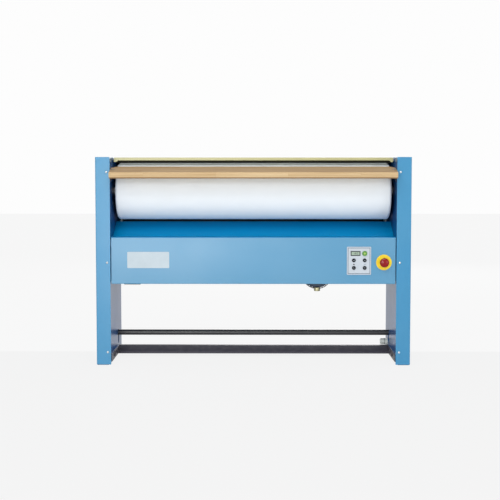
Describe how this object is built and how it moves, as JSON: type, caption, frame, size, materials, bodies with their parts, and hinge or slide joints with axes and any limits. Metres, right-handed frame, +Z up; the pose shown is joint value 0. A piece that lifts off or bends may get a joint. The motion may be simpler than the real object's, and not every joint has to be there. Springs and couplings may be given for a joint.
{
  "type": "flatwork ironer",
  "caption": "Free-standing ironer: padded roller, heated shoe behind it, wooden feed board, finger guard, sloped linen tray, foot pedal bar and push-button panel.",
  "frame": {"origin": "on the floor, in the middle of the width and of the whole depth with the feed board", "axes": "+X to the operator's right along the roller, +Y to the back, +Z up"},
  "size_m": [1.37, 0.405, 0.908],
  "materials": {
    "casing_blue": "semi-gloss light blue paint",
    "plate_blue": "glossy blue-grey paint on thick plate",
    "tray_blue": "glossy deep blue paint",
    "black_paint": "satin black paint",
    "guard_yellow": "gloss pale yellow paint",
    "zinc_steel": "bright zinc-plated steel",
    "bare_steel": "machined steel",
    "cast_grey": "grey-painted casting",
    "shoe_aluminium": "polished inner face, cast outer face",
    "beech": "clear-varnished beech",
    "cloth": "white ironing cloth",
    "felt": "padding felt",
    "label_white": "bare white label plate",
    "keypad_silver": "silver-grey membrane",
    "display_glass": "grey-green display",
    "lamp_plastic": "small red lens",
    "green_plastic": "green push-button",
    "black_plastic": "black push-button",
    "red_plastic": "glossy red mushroom head",
    "yellow_plastic": "yellow backing disc",
    "grey_plastic": "light grey nylon",
    "motor_navy": "dark blue finned casting",
    "gland_brass": "dull nickelled brass"
  },
  "bodies": {
    "frame": {"base_plates": "black_paint", "base_stretcher": "black_paint", "board_brackets": "black_paint", "cable_gland": "grey_plastic", "column_screws": "zinc_steel", "control_box": "black_plastic", "display_window": "display_glass", "drive_bearing": "cast_grey", "drive_chain": "bare_steel", "drive_motor": "motor_navy", "estop_body": "black_plastic", "estop_plate": "yellow_plastic", "feed_board": "beech", "feed_board_screws": "zinc_steel", "front_panel": "casing_blue", "front_rail": "plate_blue", "gearbox": "cast_grey", "guard_pins": "zinc_steel", "keypad_plate": "keypad_silver", "left_bearing": "cast_grey", "left_column_cover": "casing_blue", "left_side_plate": "plate_blue", "linen_tray": "tray_blue", "motor_bracket": "zinc_steel", "motor_gland": "gland_brass", "name_plate": "label_white", "pedal_pins": "zinc_steel", "rear_panel": "casing_blue", "rear_rail": "plate_blue", "right_bearing": "cast_grey", "right_column_cover": "casing_blue", "right_side_plate": "plate_blue", "status_lamp": "lamp_plastic", "stretcher_bolts": "black_paint", "stretcher_brackets": "black_paint", "terminal_box": "black_plastic", "top_cover": "casing_blue"},
    "roller": {"roller_tube": "bare_steel", "roller_padding": "felt", "roller_cover": "cloth", "roller_ends": "bare_steel", "roller_sprocket": "bare_steel"},
    "drive": {"drive_shaft": "bare_steel", "drive_sprocket": "bare_steel"},
    "shoe": {"heated_shoe": "shoe_aluminium", "shoe_heaters": "bare_steel", "shoe_jacket": "zinc_steel", "shoe_arms": "bare_steel", "shoe_levers": "zinc_steel"},
    "guard": {"finger_guard": "guard_yellow"},
    "pedal": {"pedal_bar": "black_paint", "pedal_arms": "plate_blue"},
    "rods": {"pull_rods": "zinc_steel"},
    "start": {"start_button": "green_plastic"},
    "key_up": {"key_up": "black_plastic"},
    "key_down": {"key_down": "black_plastic"},
    "key_left": {"key_left": "black_plastic"},
    "key_right": {"key_right": "black_plastic"},
    "stop_stem": {"estop_stem": "red_plastic"},
    "stop_cap": {"estop_cap": "red_plastic"}
  },
  "joints": [
    {"name": "roller_spin", "type": "hinge", "parent": "frame", "child": "roller", "pos_m": [0, 0.0225, 0.757], "axis": [-1, 0, 0], "continuous": true},
    {"name": "drive_spin", "type": "hinge", "parent": "frame", "child": "drive", "pos_m": [0.28, 0.1355, 0.44286], "axis": [-1, 0, 0], "continuous": true},
    {"name": "pedal_press", "type": "hinge", "parent": "frame", "child": "pedal", "pos_m": [0, -0.0825, 0.0885], "axis": [-1, 0, 0], "range_deg": [0, 10.81], "stiffness_Nm_per_rad": 16, "springref_deg": -26.36},
    {"name": "shoe_swing", "type": "hinge", "parent": "frame", "child": "shoe", "pos_m": [0, 0.1195, 0.6], "axis": [1, 0, 0], "range_deg": [0, 3]},
    {"name": "rod_swing", "type": "hinge", "parent": "pedal", "child": "rods", "pos_m": [0, -0.0385, 0.09266], "axis": [1, 0, 0], "range_deg": [0, 10.81]},
    {"name": "guard_lift", "type": "hinge", "parent": "frame", "child": "guard", "pos_m": [0, -0.0085, 0.896], "axis": [-1, 0, 0], "range_deg": [0, 8]},
    {"name": "start_press", "type": "slide", "parent": "frame", "child": "start", "axis": [0, 1, 0], "range_m": [0, 0.0025], "stiffness_N_per_m": 500, "springref_m": -0.001},
    {"name": "key_up_press", "type": "slide", "parent": "frame", "child": "key_up", "axis": [0, 1, 0], "range_m": [0, 0.0025], "stiffness_N_per_m": 500, "springref_m": -0.001},
    {"name": "key_down_press", "type": "slide", "parent": "frame", "child": "key_down", "axis": [0, 1, 0], "range_m": [0, 0.0025], "stiffness_N_per_m": 500, "springref_m": -0.001},
    {"name": "key_left_press", "type": "slide", "parent": "frame", "child": "key_left", "axis": [0, 1, 0], "range_m": [0, 0.0025], "stiffness_N_per_m": 500, "springref_m": -0.001},
    {"name": "key_right_press", "type": "slide", "parent": "frame", "child": "key_right", "axis": [0, 1, 0], "range_m": [0, 0.0025], "stiffness_N_per_m": 500, "springref_m": -0.001},
    {"name": "stop_push", "type": "slide", "parent": "frame", "child": "stop_stem", "axis": [0, 1, 0], "range_m": [0, 0.005]},
    {"name": "stop_twist", "type": "hinge", "parent": "stop_stem", "child": "stop_cap", "pos_m": [0.568, -0.1625, 0.45086], "axis": [0, -1, 0], "range_deg": [-30, 0], "stiffness_Nm_per_rad": 0.05, "springref_deg": 11.46}
  ],
  "couplings": [
    {"joint": "drive_spin", "follows": "roller_spin", "ratio": 2.75},
    {"joint": "shoe_swing", "follows": "pedal_press", "ratio": 0.27757},
    {"joint": "rod_swing", "follows": "pedal_press", "ratio": 1}
  ]
}
